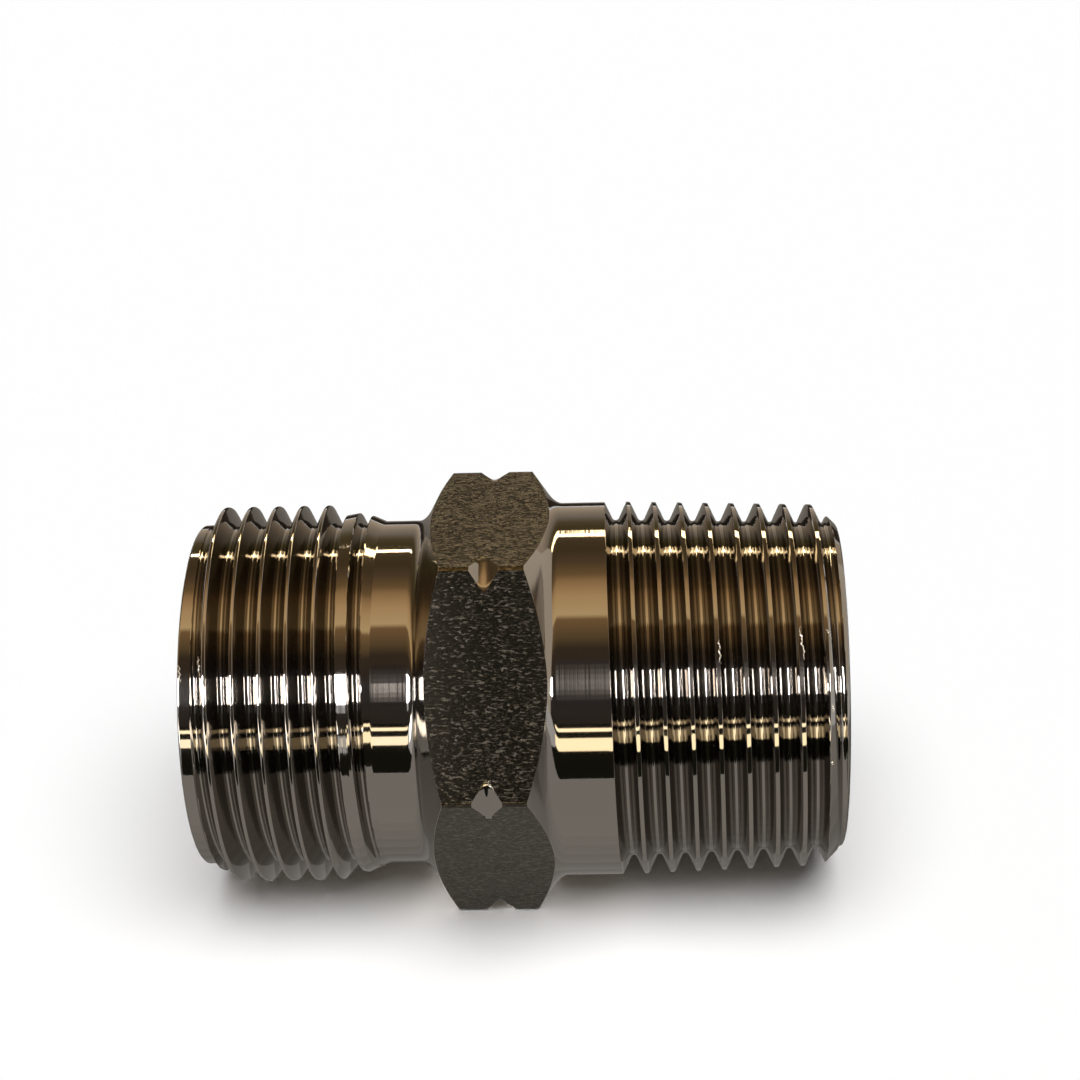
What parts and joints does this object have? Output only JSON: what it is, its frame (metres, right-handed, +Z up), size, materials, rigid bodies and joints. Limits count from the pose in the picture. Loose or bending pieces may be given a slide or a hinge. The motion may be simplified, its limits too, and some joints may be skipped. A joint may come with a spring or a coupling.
{
  "type": "threaded adapter nipple",
  "caption": "Hexagon adapter nipple in stainless steel, with a parallel pipe thread on one end, a taper pipe thread on the other, and a plain through bore with a cone seat.",
  "frame": {"origin": "On the bore's axis, at the middle of the nick in the hexagon's corners.", "axes": "X runs along the fitting from the parallel-threaded end to the taper-threaded end. Z is up, square to the flat that the fitting lies on. Y completes the right-handed frame."},
  "size_m": [0.0447, 0.031, 0.027],
  "materials": {
    "turned_steel": "bright turned stainless steel"
  },
  "bodies": {
    "root": {"adapter_body": "turned_steel"}
  },
  "joints": []
}
